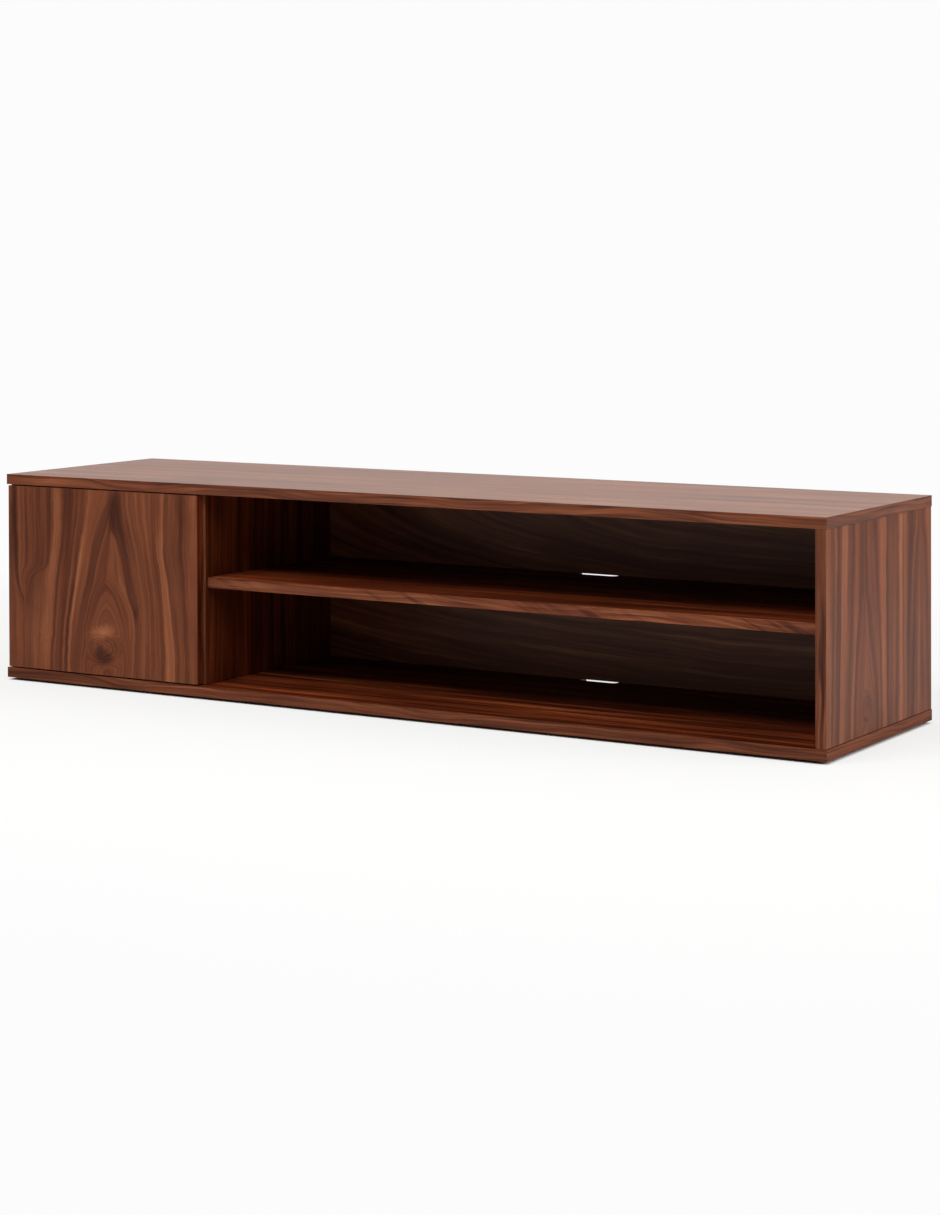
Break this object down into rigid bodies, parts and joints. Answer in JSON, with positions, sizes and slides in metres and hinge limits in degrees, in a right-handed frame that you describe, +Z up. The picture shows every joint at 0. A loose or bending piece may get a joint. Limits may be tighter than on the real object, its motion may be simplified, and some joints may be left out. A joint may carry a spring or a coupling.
{
  "type": "floating media console",
  "caption": "Low walnut media console with a hinged door bay at the left, two open bays split by a shelf, cable notches and a wall cleat.",
  "frame": {"origin": "on the floor, below the middle of the console's width and depth", "axes": "+X to the right along the front, +Y from the front towards the wall, +Z up"},
  "size_m": [1.6, 0.42, 0.3705],
  "materials": {
    "walnut": "satin lacquered walnut veneer, grain along each board",
    "walnut_back": "satin walnut veneer on thin board, grain level",
    "beech": "raw fluted beech",
    "birch_ply": "raw birch plywood",
    "brass": "brushed brass",
    "steel": "nickel plated",
    "grey_plastic": "moulded",
    "black_plastic": "moulded"
  },
  "bodies": {
    "case": {"back_panel": "walnut_back", "bottom_board": "walnut", "cabinet_cleat": "birch_ply", "cleat_dowel_1": "beech", "cleat_dowel_2": "beech", "cleat_dowel_3": "beech", "cleat_dowel_4": "beech", "divider_panel": "walnut", "divider_panel_bottom_dowel_1": "beech", "divider_panel_bottom_dowel_2": "beech", "divider_panel_top_dowel_1": "beech", "divider_panel_top_dowel_2": "beech", "door_bay_shelf": "walnut", "glide_1": "black_plastic", "glide_2": "black_plastic", "glide_3": "black_plastic", "glide_4": "black_plastic", "glide_5": "black_plastic", "glide_6": "black_plastic", "latch_housing": "grey_plastic", "left_side_panel": "walnut", "left_side_panel_bottom_dowel_1": "beech", "left_side_panel_bottom_dowel_2": "beech", "left_side_panel_top_dowel_1": "beech", "left_side_panel_top_dowel_2": "beech", "lower_hinge_case_leaf": "brass", "lower_hinge_pin": "brass", "lower_hinge_washer": "brass", "open_shelf": "walnut", "right_side_panel": "walnut", "right_side_panel_bottom_dowel_1": "beech", "right_side_panel_bottom_dowel_2": "beech", "right_side_panel_top_dowel_1": "beech", "right_side_panel_top_dowel_2": "beech", "shelf_left_dowel_1": "beech", "shelf_left_dowel_2": "beech", "shelf_pin_divider_1": "steel", "shelf_pin_divider_2": "steel", "shelf_pin_left_1": "steel", "shelf_pin_left_2": "steel", "shelf_right_dowel_1": "beech", "shelf_right_dowel_2": "beech", "top_board": "walnut", "upper_hinge_case_leaf": "brass", "upper_hinge_pin": "brass", "upper_hinge_washer": "brass", "wall_cleat": "birch_ply"},
    "door": {"door_panel": "walnut", "upper_hinge_door_leaf": "brass", "lower_hinge_door_leaf": "brass", "latch_plate": "steel"},
    "latch": {"latch_plunger": "black_plastic"}
  },
  "joints": [
    {"name": "door_hinge", "type": "hinge", "parent": "case", "child": "door", "pos_m": [-0.7905, -0.201, 0.1875], "axis": [0, 0, -1], "range_deg": [0, 110]},
    {"name": "latch_travel", "type": "slide", "parent": "case", "child": "latch", "axis": [0, -1, 0], "range_m": [0, 0.018]}
  ],
  "couplings": [
    {"joint": "latch_travel", "follows": "door_hinge", "m_per_rad": 0.009375}
  ]
}
